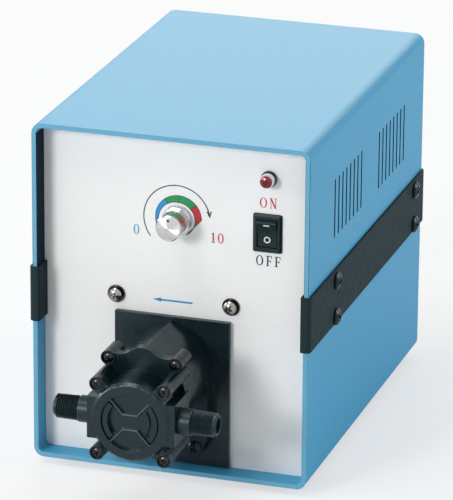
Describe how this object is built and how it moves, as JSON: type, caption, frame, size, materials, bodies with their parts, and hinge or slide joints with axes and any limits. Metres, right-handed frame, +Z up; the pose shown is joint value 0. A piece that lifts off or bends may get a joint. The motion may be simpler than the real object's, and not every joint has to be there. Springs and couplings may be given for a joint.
{
  "type": "gear pump",
  "caption": "Bench-top gear pump: folded sheet-metal drive case with a speed dial, rocker switch and pilot lamp, and a moulded pump head with two threaded ports.",
  "frame": {"origin": "centre of the bounding box's bottom face, on the floor under the four rubber feet", "axes": "+Z up, the control panel and the pump head face -Y, +X to the right as seen from the front"},
  "size_m": [0.1584, 0.2804, 0.189],
  "materials": {
    "blue_paint": "fine textured enamel",
    "white_panel": "satin enamel",
    "black_paint": "satin powder coat",
    "black_moulding": "satin moulded glass-filled plastic",
    "black_gloss": "gloss moulded plastic",
    "black_screw": "black oxide",
    "nickel": "nickel plate",
    "zinc_steel": "bright zinc plate",
    "motor_steel": "plated steel",
    "knob_metal": "spun and polished",
    "rubber": "matt",
    "seal_rubber": "matt",
    "lamp_red": "clear dark red, moulded facets",
    "brass": "turned",
    "ceramic_magnet": "sintered ferrite",
    "carbon": "carbon",
    "gear_plastic": "moulded",
    "circuit_green": "soldered board",
    "winding": "taped coil",
    "core_iron": "laminated",
    "glass": "clear tube"
  },
  "bodies": {
    "housing": {"lower_cover": "blue_paint", "upper_cover": "blue_paint", "front_panel": "white_panel", "rear_panel": "white_panel", "left_rail": "black_paint", "right_rail": "black_paint", "rail_screws": "black_screw", "rail_nuts": "zinc_steel", "rubber_feet": "rubber", "foot_screws": "zinc_steel", "panel_floor_screws": "zinc_steel", "pot_body": "motor_steel", "pot_nut": "zinc_steel", "switch_body": "black_gloss", "switch_blades": "brass", "lamp_bezel": "nickel", "lamp_lens": "lamp_red", "lamp_nut": "zinc_steel", "panel_screws": "nickel", "spring_washers": "nickel", "flat_washers": "nickel", "motor_bracket": "zinc_steel", "motor_screws": "zinc_steel", "motor_can": "motor_steel", "motor_front_cap": "motor_steel", "motor_rear_cap": "motor_steel", "motor_bearings": "zinc_steel", "motor_magnets": "ceramic_magnet", "motor_brushes": "carbon", "pump_plate": "black_paint", "coupling_housing": "black_moulding", "housing_screws": "black_screw", "pump_body": "black_moulding", "inlet_port": "black_moulding", "outlet_port": "black_moulding", "shaft_bushes": "carbon", "magnet_can": "black_moulding", "cover_seal": "seal_rubber", "front_cover": "black_moulding", "cover_screws": "nickel", "flange_screws": "nickel", "transformer_core": "core_iron", "transformer_coil": "winding", "control_board": "circuit_green", "board_standoffs": "zinc_steel", "cord_bush": "black_moulding", "fuse_holder": "black_gloss", "fuse_cap": "black_gloss", "fuse": "glass"},
    "motor_rotor": {"motor_shaft": "zinc_steel", "motor_armature": "core_iron", "outer_magnet": "ceramic_magnet"},
    "drive_gear_set": {"drive_gear": "gear_plastic", "drive_shaft": "zinc_steel", "inner_magnet": "ceramic_magnet"},
    "driven_gear_set": {"driven_gear": "gear_plastic", "driven_shaft": "zinc_steel"},
    "speed_dial": {"speed_knob": "knob_metal", "pot_shaft": "zinc_steel"},
    "power_rocker": {"switch_rocker": "black_gloss"}
  },
  "joints": [
    {"name": "motor_spin", "type": "hinge", "parent": "housing", "child": "motor_rotor", "pos_m": [-0.0014, -0.08125, 0.0619], "axis": [0, 1, 0], "continuous": true},
    {"name": "drive_gear_spin", "type": "hinge", "parent": "housing", "child": "drive_gear_set", "pos_m": [-0.0014, -0.08125, 0.0619], "axis": [0, 1, 0], "continuous": true},
    {"name": "driven_gear_spin", "type": "hinge", "parent": "housing", "child": "driven_gear_set", "pos_m": [-0.0014, -0.08125, 0.0469], "axis": [0, 1, 0], "continuous": true},
    {"name": "speed_dial_turn", "type": "hinge", "parent": "housing", "child": "speed_dial", "pos_m": [0.0004, -0.08125, 0.1406], "axis": [0, 1, 0], "range_deg": [-150, 150]},
    {"name": "power_rocker_tilt", "type": "hinge", "parent": "housing", "child": "power_rocker", "pos_m": [0.0493, -0.06805, 0.1389], "axis": [-1, 0, 0], "range_deg": [0, 20]}
  ],
  "couplings": [
    {"joint": "drive_gear_spin", "follows": "motor_spin", "ratio": 1},
    {"joint": "driven_gear_spin", "follows": "motor_spin", "ratio": -1}
  ]
}
